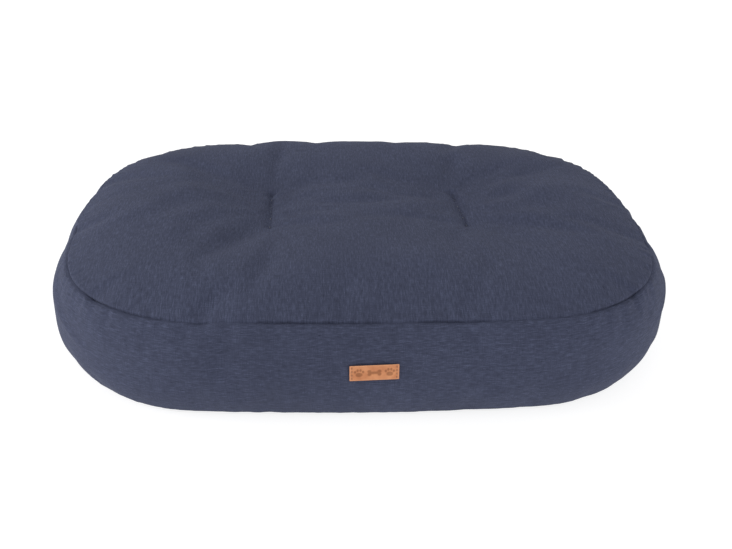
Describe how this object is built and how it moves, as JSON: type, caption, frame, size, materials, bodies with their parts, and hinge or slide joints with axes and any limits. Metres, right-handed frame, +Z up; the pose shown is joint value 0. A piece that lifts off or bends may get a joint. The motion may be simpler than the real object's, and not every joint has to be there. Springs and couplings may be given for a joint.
{
  "type": "pet cushion bed",
  "caption": "Oval stuffed floor cushion for a pet, with a sewn cover, short quilting lines on top, a rear zip and a leather label.",
  "frame": {"origin": "on the floor under the middle of the cushion", "axes": "+X along the cushion's length, +Y towards its rear with the zip, +Z up"},
  "size_m": [0.7, 0.5036, 0.1334],
  "materials": {
    "cover_cloth": "matte",
    "base_cloth": "matte",
    "lining_cloth": "matte",
    "fibre": "matte",
    "quilting_thread": "matte",
    "zip_tape": "matte",
    "zip_teeth": "satin",
    "zip_metal": "satin",
    "leather": "satin",
    "label_thread": "matte",
    "care_cloth": "matte"
  },
  "bodies": {
    "cushion": {"top_panel": "cover_cloth", "side_band": "cover_cloth", "zip_panel_upper": "cover_cloth", "zip_panel_lower": "cover_cloth", "zip_end_tab_left": "cover_cloth", "zip_end_tab_right": "cover_cloth", "bottom_panel": "base_cloth", "lining_top": "lining_cloth", "lining_band": "lining_cloth", "lining_bottom": "lining_cloth", "fibre_filling": "fibre", "quilt_thread_left": "quilting_thread", "quilt_thread_right": "quilting_thread", "zip_tape_upper": "zip_tape", "zip_tape_lower": "zip_tape", "zip_teeth_upper": "zip_teeth", "zip_teeth_lower": "zip_teeth", "zip_bottom_stop": "zip_metal", "zip_top_stop_upper": "zip_metal", "zip_top_stop_lower": "zip_metal", "leather_label": "leather", "label_stitches_left": "label_thread", "label_stitches_right": "label_thread", "care_label": "care_cloth"},
    "slider": {"zip_slider": "zip_metal"},
    "pull": {"zip_pull": "zip_metal"}
  },
  "joints": [
    {"name": "zip_run", "type": "hinge", "parent": "cushion", "child": "slider", "pos_m": [0, -1.9, 0.058], "axis": [0, 0, 1], "range_deg": [0, 8.15]},
    {"name": "pull_swing", "type": "hinge", "parent": "slider", "child": "pull", "pos_m": [0.15318, 0.24885, 0.058], "axis": [0.9975, -0.0711, 0], "range_deg": [0, 175]}
  ]
}
